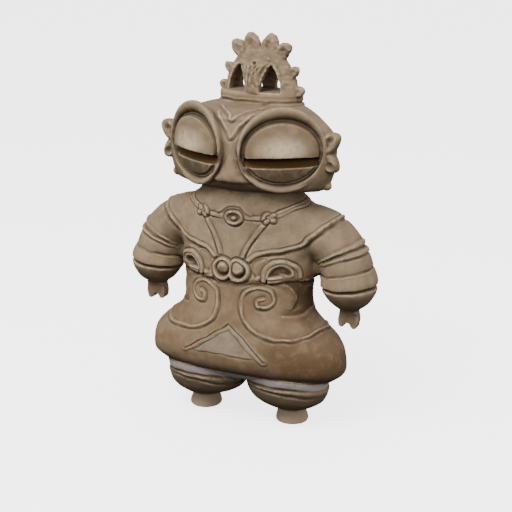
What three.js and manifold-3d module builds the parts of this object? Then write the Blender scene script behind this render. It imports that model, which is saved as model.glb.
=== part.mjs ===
// A goggle-eyed clay figure of the late Jomon kind, standing on two small round feet.
// The real one is a hollow body of coiled clay, fired in one piece, so it is one solid here.
// Millimetres, +Z up, the face looks along -Y, and +X is the figure's own left side.
// The soles lie on z = 0 and the origin is under the middle of the figure's bounding box.
import * as THREE from "three";
import { mergeVertices } from "three/addons/utils/BufferGeometryUtils.js";
import Module from "manifold-3d";

const wasm = await Module();
wasm.setup();

// The figure's height carries its pose and proportions, which are given in parts of it.
const figureHeight = 335;
const partsTall = 98.5;
const part = figureHeight / partsTall;

// Sizes that a potter sets by themselves.
const crownWall = 6.5;
const ridgeWidth = 3.6;
const ridgeHeight = 1.7;
const beltStep = 1.6;
const slitDepth = 4.5;

// How many faces go once around each form.
const bodySides = 30;
const limbSides = 14;
const headSides = 24;
const goggleSides = 20;
const crownSides = 16;
const hollowSides = 12;

function solid(geometry) {
  const bare = geometry.clone();
  bare.deleteAttribute("normal");
  bare.deleteAttribute("uv");
  const merged = mergeVertices(bare);
  return new wasm.Manifold(new wasm.Mesh({
    numProp: 3,
    vertProperties: Float32Array.from(merged.attributes.position.array),
    triVerts: Uint32Array.from(merged.index.array),
  }));
}

function geometryOf(manifold) {
  const mesh = manifold.getMesh();
  const geometry = new THREE.BufferGeometry();
  geometry.setAttribute("position", new THREE.Float32BufferAttribute(mesh.vertProperties, 3));
  geometry.setIndex(new THREE.Uint32BufferAttribute(mesh.triVerts, 1));
  return geometry;
}

// The same form on the figure's other side.
function mirrored(manifold) {
  const geometry = geometryOf(manifold);
  geometry.scale(-1, 1, 1);
  const index = geometry.index;
  for (let i = 0; i < index.count; i += 3) {
    const first = index.getX(i);
    index.setX(i, index.getX(i + 2));
    index.setX(i + 2, first);
  }
  return solid(geometry);
}

// A closed skin of rows, each once around. place gives a point from the angle away from
// the front, the row's number, and a reach of 1 on the skin or 0 at the middle of an end.
function skin(sides, rows, place) {
  const geometry = new THREE.CylinderGeometry(1, 1, 1, sides, rows);
  const position = geometry.attributes.position;
  const step = (2 * Math.PI) / sides;
  for (let i = 0; i < position.count; i += 1) {
    const across = position.getX(i);
    const ahead = position.getZ(i);
    const side = (Math.round(Math.atan2(across, ahead) / step) + sides) % sides;
    const row = Math.round((position.getY(i) + 0.5) * rows);
    const reach = Math.round(Math.hypot(across, ahead));
    const point = place(side * step, row, reach);
    position.setXYZ(i, point.x, point.y, point.z);
  }
  return solid(geometry);
}

// A point on an oval section that bulges more in front than behind, or the other way.
function oval(angle, halfWidth, front, back, frontPower, backPower = frontPower) {
  const across = Math.sin(angle);
  const ahead = Math.cos(angle);
  const depth = ahead > 0 ? front : back;
  const bend = 2 / (ahead > 0 ? frontPower : backPower);
  const x = Math.sign(across) * halfWidth * Math.abs(across) ** bend;
  const y = -Math.sign(ahead) * depth * Math.abs(ahead) ** bend;
  return new THREE.Vector2(x, y);
}

// The sizes of a form at any height, from a list of [height, size, size, ...].
function sizesAlong(stations) {
  const places = stations.map((station) => station[0]);
  const sizes = stations.flatMap((station) => station.slice(1));
  const curve = new THREE.CubicInterpolant(places, sizes, stations[0].length - 1);
  return (place) => Array.from(curve.evaluate(place));
}

// An upright form from rows of [height, half width, middle, front, back] in parts: the
// middle is the widest place in the plan, and front and back are measured from it.
function uprightForm(sides, rows, frontPower, backPower = frontPower) {
  return skin(sides, rows.length - 1, (angle, row, reach) => {
    const [height, halfWidth, middle, front, back] = rows[row].map((size) => size * part);
    const rim = oval(angle, halfWidth, front, back, frontPower, backPower).multiplyScalar(reach);
    return new THREE.Vector3(rim.x, rim.y + middle, height);
  });
}

function evenHeights(low, high, count) {
  return Array.from({ length: count + 1 }, (_, i) => low + ((high - low) * i) / count);
}

// The body from the underside of the skirt to the neck.
const bodySizes = sizesAlong([
  [15.6, 26.7, -1.5, 11.8, 11.0],
  [18.4, 26.7, -1.5, 12.1, 11.2],
  [21.6, 25.9, -1.4, 12.2, 11.1],
  [24.4, 23.7, -1.0, 12.2, 10.5],
  [26.6, 21.0, -0.9, 12.0, 10.2],
  [29.6, 18.0, -0.9, 11.8, 9.9],
  [33.5, 17.1, -0.7, 11.3, 9.5],
  [39.3, 17.4, -0.4, 10.8, 9.3],
  [45.0, 17.8, 0.0, 10.4, 9.1],
  [48.5, 19.2, 0.3, 10.1, 9.0],
  [52.0, 19.8, 0.7, 9.9, 8.8],
  [55.5, 18.2, 1.1, 10.1, 8.4],
  [58.0, 15.2, 1.2, 10.0, 8.0],
  [60.0, 13.3, 1.2, 9.7, 7.8],
  [63.9, 11.9, 1.0, 8.6, 7.2],
]);
const beltHeight = 39.3;
const skirtRows = [
  [10.8, 20.6, -1.4, 6.8, 7.2],
  [12.6, 23.6, -1.5, 9.4, 9.2],
  [14.2, 25.8, -1.5, 11.2, 10.5],
];
const lowerBodyRows = evenHeights(15.6, beltHeight, 7).map((height) => [height, ...bodySizes(height)]);
// Above the belt's lower edge the clay stands proud of the waist, and fades into the chest.
const chestHeights = evenHeights(beltHeight + 0.4, 63.9, 5);
const upperBodyRows = chestHeights.map((height, i) => {
  const proud = (beltStep / part) * Math.max(0, 1 - i / 3);
  const [halfWidth, middle, front, back] = bodySizes(height);
  return [height, halfWidth + proud, middle, front + proud, back + proud];
});
const torso = uprightForm(bodySides, [...skirtRows, ...lowerBodyRows, ...upperBodyRows], 2.2);

// One leg: a small round foot, a swollen bowl and the band around its rim.
// Rows are [height, half width, half depth, middle x, middle y].
const ankleHeight = 3.8;
const rimHeight = 9.6;
const ankleRadius = 3.55;
const bowlSteps = 3;
const bowlRows = Array.from({ length: bowlSteps }, (_, i) => {
  const rise = (i + 1) / bowlSteps;
  const swell = Math.sin((rise * Math.PI) / 2);
  const height = ankleHeight + rise * (rimHeight - 1.3 - ankleHeight);
  return [height, ankleRadius + swell * 7.3, ankleRadius + swell * 5.4, 12.4 - rise * 1.1, -1.6 - rise * 0.2];
});
const legRows = [
  [0, 4.0, 4.0, 12.5, -1.5],
  [0.8, 4.1, 4.1, 12.5, -1.5],
  [ankleHeight, ankleRadius, ankleRadius, 12.4, -1.6],
  ...bowlRows,
  [rimHeight - 1.1, 11.2, 9.3, 11.3, -1.8],
  [rimHeight + 0.3, 11.2, 9.3, 11.3, -1.8],
  [rimHeight + 1.9, 10.2, 8.2, 11.2, -1.8],
];
const leg = skin(limbSides, legRows.length - 1, (angle, row, reach) => {
  const [height, halfWidth, halfDepth, middleX, middleY] = legRows[row].map((size) => size * part);
  const rim = oval(angle, halfWidth, halfDepth, halfDepth, 2).multiplyScalar(reach);
  return new THREE.Vector3(middleX + rim.x, middleY + rim.y, height);
});

// One arm, around a spine that leaves the chest and hangs down to the wrist.
const armSpine = new THREE.CatmullRomCurve3([
  new THREE.Vector3(8.8, 1.8, 51.4),
  new THREE.Vector3(16.4, 2.1, 51.0),
  new THREE.Vector3(21.4, 1.8, 48.5),
  new THREE.Vector3(24.5, 1.0, 45.0),
  new THREE.Vector3(26.1, 0.5, 41.0),
  new THREE.Vector3(26.8, 0, 37.9),
  new THREE.Vector3(27.1, -0.3, 30.6),
]);
// Rows of [share of the spine, radius]: a double ring, a line above the cuff, and the cuff.
const armRows = [
  [0, 4.8], [0.19, 6.0], [0.33, 6.4],
  [0.44, 6.6], [0.455, 7.0], [0.47, 6.7], [0.49, 6.75], [0.505, 7.05], [0.52, 6.7],
  [0.65, 6.8], [0.72, 7.6], [0.75, 7.5], [0.76, 6.9],
  [0.83, 6.3], [0.88, 5.3], [0.92, 4.0], [0.95, 2.6],
];
const arm = skin(limbSides, armRows.length - 1, (angle, row, reach) => {
  const [share, radius] = armRows[row];
  const middle = armSpine.getPointAt(share);
  const along = armSpine.getTangentAt(share);
  const outward = new THREE.Vector3(-along.z, 0, along.x).normalize();
  const point = middle.addScaledVector(outward, radius * Math.sin(angle) * reach);
  const depth = share < 0.4 ? 1.12 : 0.98;
  point.y += radius * depth * Math.cos(angle) * reach;
  return point.multiplyScalar(part);
});

// A hand: a short flat tab, forked below like a fish's tail.
const handTop = 33.2;
const handTip = 27.6;
function handForm() {
  const outline = new THREE.Shape();
  outline.moveTo(-2.1, handTop);
  outline.lineTo(-2.65, handTip + 2.0);
  outline.lineTo(-2.1, handTip);
  outline.lineTo(-1.2, handTip);
  outline.lineTo(-0.1, handTip + 1.5);
  outline.lineTo(1.5, handTip - 0.3);
  outline.lineTo(2.3, handTip);
  outline.lineTo(2.65, handTip + 2.1);
  outline.lineTo(2.1, handTop);
  const thickness = 3.0;
  const geometry = new THREE.ExtrudeGeometry(outline, { depth: thickness, bevelEnabled: false });
  geometry.rotateX(Math.PI / 2);
  geometry.translate(27.1, thickness / 2 - 0.3, 0);
  geometry.scale(part, part, part);
  return solid(geometry);
}
const hand = handForm();

// The head: wide, flat below and steep in front, with a low flat top that carries the crown.
const headSizes = sizesAlong([
  [62.0, 20.2, 0, 9.4, 9.0],
  [63.8, 21.2, 0, 10.8, 10.0],
  [66.1, 21.9, 0, 11.6, 10.9],
  [69.0, 22.2, 0, 11.9, 11.6],
  [71.9, 22.3, 0, 12.0, 12.0],
  [74.4, 22.0, 0, 11.9, 12.2],
  [76.6, 21.1, 0, 11.5, 12.2],
  [78.7, 19.3, 0, 11.0, 12.1],
  [80.2, 16.8, 0, 10.2, 11.9],
]);
const headTop = 80.9;
const headRows = [
  [61.2, 18.4, 0, 7.6, 7.6],
  ...evenHeights(62.0, headTop - 0.7, 7).map((height) => [height, ...headSizes(height)]),
  [headTop, 13.0, 0, 6.0, 11.4],
];
const head = uprightForm(headSides, headRows, 1.5, 2.1);

// One goggle: a drum set in the head, its rim, and the swollen lid inside the rim.
// Rows run from the back of the drum to the top of the lid: how far out, half width, half height.
const eyePlace = new THREE.Vector3(11.4, -7.2, 72.2);
const eyeTurn = Math.PI / 6;
const goggleRows = [
  [-6.0, 8.6, 6.8], [0.0, 10.8, 10.3], [0.8, 10.5, 10.0], [0.8, 10.0, 8.9],
  [-0.2, 9.7, 8.1], [-0.1, 9.5, 7.6], [1.1, 8.0, 6.4], [2.0, 4.8, 3.9],
];
const eyeOut = new THREE.Vector3(Math.sin(eyeTurn), -Math.cos(eyeTurn), 0);
const eyeSide = new THREE.Vector3(Math.cos(eyeTurn), Math.sin(eyeTurn), 0);
function eyePoint(out, side, up) {
  const point = eyePlace.clone();
  point.addScaledVector(eyeOut, out).addScaledVector(eyeSide, side);
  point.z += up;
  return point.multiplyScalar(part);
}
function goggleForm(rows) {
  return skin(goggleSides, rows.length - 1, (angle, row, reach) => {
    const [out, halfWidth, halfHeight] = rows[row];
    const side = halfWidth * Math.cos(angle) * reach;
    return eyePoint(out, side, halfHeight * Math.sin(angle) * reach);
  });
}
// What the goggle takes out of the head, so that the head never bulges through the lid.
const socket = goggleForm([[-3.0, 9.9, 9.0], [8.0, 9.9, 9.0]]);
// The slit between the lids, deep under the upper one and rising to the lower one.
const slitTop = -1.4;
const slitBottom = -4.1;
const slitSteps = 6;
const slit = skin(4, slitSteps, (angle, row, reach) => {
  const along = (row / slitSteps) * 2 - 1;
  const narrow = 1 - 0.45 * along * along;
  const floor = 1.9 - 1.3 * along * along;
  const corners = [
    [floor - slitDepth / part, slitTop], [4.0, slitTop], [4.0, slitBottom], [floor - 0.6, slitBottom],
  ];
  const corner = corners[Math.round(angle / (Math.PI / 2)) % 4];
  const out = 2.5 + (corner[0] - 2.5) * reach;
  const middle = (slitTop + slitBottom) / 2;
  const up = middle + (corner[1] - middle) * reach * narrow;
  return eyePoint(out, along * 9.0, up);
});
const goggle = goggleForm(goggleRows).subtract(slit);

// A rounded lump: a low sphere stretched to its half sizes, turned about the front axis.
function lump(place, halfSizes, lean = 0, sides = 8, rows = 4) {
  const geometry = new THREE.SphereGeometry(1, sides, rows);
  geometry.scale(halfSizes[0], halfSizes[1], halfSizes[2]);
  geometry.rotateY(lean);
  geometry.translate(place[0], place[1], place[2]);
  geometry.scale(part, part, part);
  return solid(geometry);
}
const ear = lump([21.6, 0, 74.0], [2.3, 1.6, 2.8], 0.7).add(lump([21.1, 0, 68.3], [2.3, 1.6, 2.8], -0.5));
const jawKnob = lump([20.3, 0, 62.8], [1.3, 1.2, 1.2]);
// The nose: a low ridge between the goggles, wide and square below and narrow at the brow.
const noseRows = [
  [63.8, 4.8, 2.3], [64.7, 5.6, 3.7], [67.2, 4.5, 3.8], [70.4, 3.0, 3.9],
  [73.4, 2.4, 3.8], [76.0, 2.0, 3.2],
];
const nose = skin(8, noseRows.length - 1, (angle, row, reach) => {
  const [height, halfWidth, front] = noseRows[row];
  const rim = oval(angle, halfWidth, front, 3, 1.5).multiplyScalar(reach);
  return new THREE.Vector3(rim.x, rim.y - 8.8, height).multiplyScalar(part);
});

// The crown: a low oval ring, an open dome of two crossing arches, and eight lugs.
const crownMiddle = 6.8;
const ringBase = headTop - 0.9;
const ringHeight = 3.9;
const domeHeight = 9.3;
const ringTop = ringBase + ringHeight;
const domeTop = ringTop + domeHeight;
const upDome = (share) => ringTop + share * domeHeight;
const ringRows = [
  [ringBase, 11.3, 5.6], [ringTop - 2.6, 11.3, 5.6], [ringTop - 2.4, 10.9, 5.2],
  [ringTop - 0.3, 10.8, 5.1], [ringTop, 10.5, 4.9],
].map(([height, halfWidth, halfDepth]) => [height, halfWidth, crownMiddle, halfDepth, halfDepth]);
const ring = uprightForm(crownSides, ringRows, 2.2);
const domeSizes = sizesAlong([
  [ringBase, 10.8, crownMiddle, 5.0, 5.0],
  [upDome(0.05), 10.4, crownMiddle, 4.7, 4.7],
  [upDome(0.54), 9.1, crownMiddle, 4.1, 4.1],
  [upDome(0.86), 7.2, crownMiddle, 3.3, 3.3],
  [domeTop, 5.6, crownMiddle, 2.6, 2.6],
]);
const domeRows = evenHeights(ringTop - 1, domeTop, 4).map((height) => [height, ...domeSizes(height)]);
const dome = uprightForm(crownSides, domeRows, 2.2);
const wall = crownWall / part;
const innerRows = evenHeights(ringTop, domeTop - wall, 2).map((height) => {
  const [halfWidth, middle, halfDepth] = domeSizes(height + wall / 2);
  const innerDepth = Math.max(1.5, halfDepth - wall / 1.6);
  return [height, halfWidth - wall, middle, innerDepth, innerDepth];
});
const hollow = uprightForm(hollowSides, innerRows, 2.2);
// One window on each side of the front pillar, cut through to the back.
function windowForm() {
  const outline = new THREE.Shape();
  const springing = upDome(0.505);
  outline.moveTo(1.9, ringTop);
  outline.lineTo(7.6, ringTop);
  outline.quadraticCurveTo(7.2, springing, 4.6, upDome(0.72));
  outline.quadraticCurveTo(2.6, springing, 1.9, ringTop);
  const depth = 16;
  const geometry = new THREE.ExtrudeGeometry(outline, { depth, bevelEnabled: false, curveSegments: 3 });
  geometry.rotateX(Math.PI / 2);
  geometry.translate(0, crownMiddle + depth / 2, 0);
  geometry.scale(part, part, part);
  return solid(geometry);
}
const crownWindow = windowForm();
const lugs = [
  [11.3, upDome(0.05), 0.95, 0.9, 1.15, 1.35],
  [9.5, upDome(0.59), 0.95, 0.9, 1.25, 1.05],
  [6.8, domeTop + 0.5, 1.7, 1.4, 2.5, 0.85],
  [3.0, domeTop + 2.25, 2.1, 1.5, 3.3, 0.28],
].map(([x, z, halfWidth, halfDepth, halfLength, lean]) => (
  lump([x, crownMiddle, z], [halfWidth, halfDepth, halfLength], lean, 6, 4)
));
const lugsOneSide = lugs.reduce((all, lug) => all.add(lug));
const crown = ring
  .add(dome.subtract(hollow).subtract(crownWindow).subtract(mirrored(crownWindow)))
  .add(lugsOneSide)
  .add(mirrored(lugsOneSide));

const oneSide = leg.add(arm).add(hand).add(goggle).add(ear).add(jawKnob);
const openHead = head.subtract(socket).subtract(mirrored(socket));
const coarse = torso.add(openHead).add(nose).add(oneSide).add(mirrored(oneSide)).add(crown);

// The relief is laid on the body along paths that are seen from the front or the back.
const ground = new THREE.Mesh(geometryOf(coarse));
const caster = new THREE.Raycaster();
function groundAt(from, toward) {
  caster.set(from, toward);
  const [hit] = caster.intersectObject(ground);
  return { point: hit.point, normal: hit.face.normal };
}
// A line of sight keeps a hair aside, so that it never runs along an edge between two faces.
const farAway = 300;
const aside = 0.013;
function sightLine([x, z], from) {
  const eye = new THREE.Vector3(x * part + aside, from, z * part + aside);
  return groundAt(eye, new THREE.Vector3(0, -Math.sign(from), 0));
}
const front = (place) => sightLine(place, -farAway);
const behind = (place) => sightLine(place, farAway);

// A three-sided ridge along a path, its crest proud of the ground and its foot sunk in it.
const ridgeFoot = 1.3;
function ridge(path, height = ridgeHeight) {
  const rows = path.length - 1;
  const nearby = (i) => path[Math.min(rows, Math.max(0, i))];
  return skin(3, rows, (angle, row, reach) => {
    const before = nearby(row - 1);
    const after = nearby(row + 1);
    const along = after.point.clone().sub(before.point).normalize();
    const out = before.normal.clone().add(after.normal).addScaledVector(path[row].normal, 2);
    out.addScaledVector(along, -out.dot(along)).normalize();
    const across = along.clone().cross(out);
    const isCrest = angle < 1;
    const lift = isCrest ? height : -ridgeFoot;
    const spread = isCrest ? 0 : Math.sign(Math.sin(angle)) * ridgeWidth * 0.62;
    const point = path[row].point.clone();
    point.addScaledVector(out, -ridgeFoot + (lift + ridgeFoot) * reach);
    return point.addScaledVector(across, spread * reach);
  });
}

// Points spread evenly along a smooth line through the given plan of [x, height].
function smoothLine(corners, count) {
  const curve = new THREE.CatmullRomCurve3(corners.map(([x, z]) => new THREE.Vector3(x, 0, z)));
  return curve.getSpacedPoints(count).map((point) => [point.x, point.z]);
}

function ringLine(middleX, middleZ, halfWidth, halfHeight, count) {
  return Array.from({ length: count }, (_, i) => {
    const turn = (2 * Math.PI * i) / count;
    return [middleX + halfWidth * Math.sin(turn), middleZ + halfHeight * Math.cos(turn)];
  });
}

// A ring is made of two half ridges, so that each is a closed form with two ends.
function ringRidge(line, height = ridgeHeight) {
  const half = line.length / 2;
  const path = line.map(front);
  const first = ridge(path.slice(0, half + 1), height);
  return first.add(ridge([...path.slice(half), path[0]], height));
}

const knot = [8.9, 55.2];
const ballPlace = [2.6, 42.0];
// The yoke's edge runs up the chest, over the shoulder and down to the middle of the back.
const yokeFront = smoothLine([
  [4.6, 44.6], [6.6, 46.2], [9.6, 46.8], [13.2, 47.2], [16.0, 48.0], [18.4, 49.5],
], 6);
const yokeBack = smoothLine([[18.0, 49.2], [12.0, 48.4], [6.0, 48.0], [-0.3, 47.9]], 3);
const shoulder = new THREE.Vector3(17.5, 1.8, 47.0).multiplyScalar(part);
const yokeOver = [42, 64, 90, 120, 150].map((degrees) => {
  const turn = THREE.MathUtils.degToRad(degrees);
  const out = new THREE.Vector3(0.66 * Math.sin(turn), -Math.cos(turn), 0.75 * Math.sin(turn));
  return groundAt(shoulder.clone().addScaledVector(out, farAway), out.clone().negate());
});
const yoke = ridge([...yokeFront.map(front), ...yokeOver, ...yokeBack.map(behind)]);
const strap = ridge(smoothLine([knot, [5.6, 50.6], [3.4, 46.4], [2.9, 44.2]], 5).map(front));
const collar = ridge(smoothLine([knot, [11.6, 56.5], [14.4, 57.6]], 3).map(front));
const chestBand = ridge(smoothLine([[3.0, 55.1], knot], 2).map(front));
// The spiral's tail runs out over the hip and stops just short of its edge.
const towardHip = (share, height) => [share * bodySizes(height)[0], height];
const spiral = ridge(smoothLine([
  [8.4, 35.3], [7.1, 34.7], [7.4, 33.1], [9.4, 32.8], [11.2, 34.4], [10.3, 37.1], [6.9, 38.1], [4.0, 36.6],
  [3.1, 33.4], [3.9, 30.0], [6.4, 27.2], [10.0, 25.6], [14.0, 25.2], towardHip(0.81, 25.4), towardHip(0.95, 26.2),
], 20).map(front));
const eyelet = ringRidge(ringLine(ballPlace[0], ballPlace[1], 2.6, 2.6, 8));
const loop = ringRidge(ringLine(12.6, 42.3, 3.6, 1.8, 10), ridgeHeight * 1.2);
const knotLump = front(knot).point.divideScalar(part).toArray();
const ballLump = front(ballPlace).point.divideScalar(part).toArray();
const reliefOneSide = [
  yoke, strap, collar, chestBand, spiral, eyelet, loop,
  lump(knotLump, [1.5, 0.7, 1.2], 0, 6, 4),
  lump(ballLump, [1.9, 1.3, 1.9]),
].reduce((all, form) => all.add(form));
const apron = [[0, 28.1], [11.2, 19.3], [-11.2, 19.3]].map((corner, i, corners) => {
  const next = corners[(i + 1) % 3];
  return ridge(smoothLine([corner, next], 4).map(front), ridgeHeight * 0.8);
}).reduce((all, side) => all.add(side));
const pendant = ringRidge(ringLine(0, 55.0, 2.4, 1.9, 8));

const clay = new THREE.MeshStandardMaterial({ color: 0xa08c73, roughness: 0.85, metalness: 0 });
const carved = coarse.add(reliefOneSide).add(mirrored(reliefOneSide)).add(apron).add(pendant);
const surface = geometryOf(carved);
surface.computeBoundingBox();
const middle = surface.boundingBox.getCenter(new THREE.Vector3());
surface.translate(-middle.x, -middle.y, 0);
const figure = new THREE.Mesh(surface, clay);
figure.name = "dogu_figure";
const group = new THREE.Group();
group.add(figure);

export default group;
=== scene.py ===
import bpy
import numpy as np
from mathutils import Matrix, Vector
from mathutils.bvhtree import BVHTree


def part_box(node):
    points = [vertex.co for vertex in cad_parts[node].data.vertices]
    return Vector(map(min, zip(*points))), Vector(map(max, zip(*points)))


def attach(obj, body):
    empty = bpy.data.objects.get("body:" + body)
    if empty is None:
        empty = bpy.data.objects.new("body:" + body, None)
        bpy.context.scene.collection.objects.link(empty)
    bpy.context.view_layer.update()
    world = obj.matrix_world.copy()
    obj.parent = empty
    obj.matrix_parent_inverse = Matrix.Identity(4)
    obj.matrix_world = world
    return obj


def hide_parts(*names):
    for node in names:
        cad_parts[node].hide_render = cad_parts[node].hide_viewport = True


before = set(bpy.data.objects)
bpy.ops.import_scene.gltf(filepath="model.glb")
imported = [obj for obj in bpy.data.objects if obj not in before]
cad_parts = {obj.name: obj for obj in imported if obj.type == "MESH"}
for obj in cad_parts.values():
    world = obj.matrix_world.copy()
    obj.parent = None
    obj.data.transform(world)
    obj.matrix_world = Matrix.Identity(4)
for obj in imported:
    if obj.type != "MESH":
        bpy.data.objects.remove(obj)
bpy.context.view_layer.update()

# The body
# A hollow trunk of coiled clay, wide at the skirt, narrow at the waist and rounded at the
# shoulders. Its sizes are in parts of the figure's height, and become metres at the end.
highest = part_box("dogu_figure")[1]
parts_tall = 98.5
part = highest.z / parts_tall
crown_back = 12.4
set_back = highest.y - crown_back * part


def sizes_at(stations, places):
    """The sizes of a form at any place, by a smooth curve through [place, size, size, ...]."""
    table = np.array(stations, float)
    marks, sizes = table[:, 0], table[:, 1:]
    slopes = np.empty_like(sizes)
    slopes[1:-1] = (sizes[2:] - sizes[:-2]) / (marks[2:] - marks[:-2])[:, None]
    slopes[0] = (sizes[1] - sizes[0]) / (marks[1] - marks[0])
    slopes[-1] = (sizes[-1] - sizes[-2]) / (marks[-1] - marks[-2])
    i = np.clip(np.searchsorted(marks, places, side="right") - 1, 0, len(marks) - 2)
    span = (marks[i + 1] - marks[i])[:, None]
    t = (np.clip(places, marks[0], marks[-1]) - marks[i])[:, None] / span
    rise = t * t * (3 - 2 * t)
    curve = sizes[i] * (1 - rise) + sizes[i + 1] * rise
    return (curve + t * (1 - t) ** 2 * span * slopes[i] - t * t * (1 - t) * span * slopes[i + 1]).T


def height_at(stations, share):
    """The height at a share of the way up a form."""
    low, high = stations[0][0], stations[-1][0]
    return low + share * (high - low)


def share_at(stations, height):
    low, high = stations[0][0], stations[-1][0]
    return (height - low) / (high - low)


def oval(angle, half_width, front, back, front_power, back_power):
    """A plan section that bulges differently in front and behind. Angle 0 is the front."""
    across, ahead = np.sin(angle), np.cos(angle)
    faces_front = ahead > 0
    bend = 2 / np.where(faces_front, front_power, back_power)
    depth = np.where(faces_front, front, back)
    x = np.sign(across) * half_width * np.abs(across) ** bend
    return x, -np.sign(ahead) * depth * np.abs(ahead) ** bend


def pick(*pieces):
    """Leaves only these pieces selected, and makes the first one active."""
    bpy.ops.object.select_all(action="DESELECT")
    for piece in pieces:
        piece.select_set(True)
    bpy.context.view_layer.objects.active = pieces[0]


def face_outward():
    """Turns all faces of the active piece outwards."""
    bpy.ops.object.mode_set(mode="EDIT")
    bpy.ops.mesh.select_all(action="SELECT")
    bpy.ops.mesh.normals_make_consistent(inside=False)
    bpy.ops.object.mode_set(mode="OBJECT")


def closed_form(name, sides, rows, place):
    """A ball whose points are carried to their places, by angle, share of the way, and reach."""
    bpy.ops.object.select_all(action="DESELECT")
    bpy.ops.mesh.primitive_uv_sphere_add(segments=sides, ring_count=rows + 1)
    piece = bpy.context.object
    piece.name = name
    ball = np.empty(len(piece.data.vertices) * 3)
    piece.data.vertices.foreach_get("co", ball)
    x, y, z = ball.reshape(-1, 3).T
    reach = np.where(np.hypot(x, y) > 1e-5, 1.0, 0.0)
    ring = np.rint(np.arccos(np.clip(-z, -1, 1)) / np.pi * (rows + 1)) - 1
    share = np.clip(ring / (rows - 1), 0, 1)
    points = np.stack(place(np.arctan2(x, -y), share, reach), 1)
    piece.data.vertices.foreach_set("co", points.ravel())
    face_outward()
    return piece


belt_height = 39.3
belt_step = 0.47
step_fades_over = 14.5
body_stations = [
    [10.8, 20.6, -1.4, 5.6, 7.2],
    [12.6, 23.6, -1.5, 8.0, 9.2],
    [14.2, 25.8, -1.5, 9.9, 10.5],
    [15.6, 26.7, -1.5, 11.3, 11.0],
    [18.4, 26.7, -1.5, 12.1, 11.2],
    [21.6, 25.9, -1.4, 12.2, 11.1],
    [24.4, 23.7, -1.0, 12.2, 10.5],
    [26.6, 21.0, -0.9, 12.0, 10.2],
    [29.6, 18.0, -0.9, 11.8, 9.9],
    [33.5, 17.1, -0.7, 11.3, 9.5],
    [39.3, 17.4, -0.4, 10.8, 9.3],
    [45.0, 17.8, 0.0, 10.4, 9.1],
    [48.5, 19.2, 0.3, 10.1, 9.0],
    [52.0, 19.8, 0.7, 9.9, 8.8],
    [55.5, 18.2, 1.1, 10.1, 8.4],
    [58.0, 15.2, 1.2, 10.0, 8.0],
    [60.0, 13.3, 1.2, 9.7, 7.8],
    [63.9, 11.9, 1.0, 8.6, 7.2],
]


def body_place(angle, share, reach):
    height = height_at(body_stations, share)
    half_width, middle, front, back = sizes_at(body_stations, height)
    above_belt = height - belt_height
    fading = np.clip(1 - above_belt / step_fades_over, 0, 1)
    proud = belt_step * np.clip(above_belt / 0.5, 0, 1) * fading
    x, y = oval(angle, half_width + proud, front + proud, back + proud, 2.2, 2.2)
    return x * reach, y * reach + middle, height


body = closed_form("body", 128, 150, body_place)

# The legs
# Each leg is a swollen bowl with a raised rim, pressed up into the skirt, on a small round
# foot with a flat sole. The two are alike, and one is the other's mirror image.
leg_stations = [
    [0.0, 4.1, 4.1, 12.5, -1.5],
    [0.25, 4.25, 4.25, 12.5, -1.5],
    [0.9, 4.2, 4.2, 12.5, -1.5],
    [3.3, 3.55, 3.55, 12.4, -1.6],
    [3.8, 3.65, 3.65, 12.4, -1.6],
    [4.1, 4.6, 4.4, 12.4, -1.6],
    [5.1, 7.0, 6.2, 12.1, -1.7],
    [6.4, 9.3, 7.9, 11.7, -1.75],
    [7.8, 10.4, 8.7, 11.4, -1.8],
    [8.8, 10.8, 8.95, 11.3, -1.8],
    [9.1, 10.85, 9.0, 11.3, -1.8],
    [9.3, 11.0, 9.15, 11.3, -1.8],
    [10.1, 11.0, 9.15, 11.3, -1.8],
    [10.4, 10.85, 9.0, 11.3, -1.8],
    [12.9, 11.3, 9.4, 11.3, -1.8],
]
leg_lift, foot_height = 0.018, 4


def leg_place(angle, share, reach):
    height = height_at(leg_stations, share)
    half_width, half_depth, middle_x, middle_y = sizes_at(leg_stations, height)
    x, y = oval(angle, half_width, half_depth, half_depth, 2, 2)
    above_foot = np.clip((height - foot_height) / 4, 0, 1)
    lift = leg_lift * np.clip(-y * reach, 0, None) ** 2 * above_foot
    return middle_x + x * reach, middle_y + y * reach, height + lift


def mirror_copy(piece):
    """The same form on the figure's other side, as a mesh of its own."""
    pick(piece)
    bpy.ops.object.duplicate()
    twin = bpy.context.object
    bpy.ops.object.mode_set(mode="EDIT")
    bpy.ops.mesh.select_all(action="SELECT")
    bpy.ops.transform.mirror(constraint_axis=(True, False, False), center_override=(0, 0, 0))
    face_outward()
    return twin


left_leg = closed_form("left leg", 80, 60, leg_place)
right_leg = mirror_copy(left_leg)

# The arms
# Short puffed arms that hang from the shoulders: two raised rings, a smooth swollen cuff with
# a groove under it, a small bowl below, and a flat hand that is forked like a fish's tail.
arm_spine = [
    (8.8, 1.8, 51.4), (16.4, 2.1, 51.0), (21.4, 1.8, 48.5), (24.5, 1.0, 45.0),
    (26.1, 0.5, 41.0), (26.8, 0.0, 37.9), (27.1, -0.3, 30.6),
]
arm_stations = [
    [0.0, 4.8], [0.12, 5.6], [0.22, 6.1], [0.34, 6.4],
    [0.435, 6.58], [0.45, 6.9], [0.458, 6.95], [0.47, 6.65], [0.478, 6.6],
    [0.49, 6.7], [0.5, 6.85], [0.508, 6.85], [0.52, 6.6], [0.53, 6.55],
    [0.6, 6.6], [0.636, 6.68], [0.643, 6.85], [0.65, 6.7],
    [0.69, 7.05], [0.715, 7.2], [0.735, 7.2], [0.747, 7.1], [0.757, 6.75],
    [0.765, 6.75], [0.785, 6.85], [0.83, 6.3], [0.88, 5.3], [0.92, 4.0], [0.95, 2.6],
]


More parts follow.
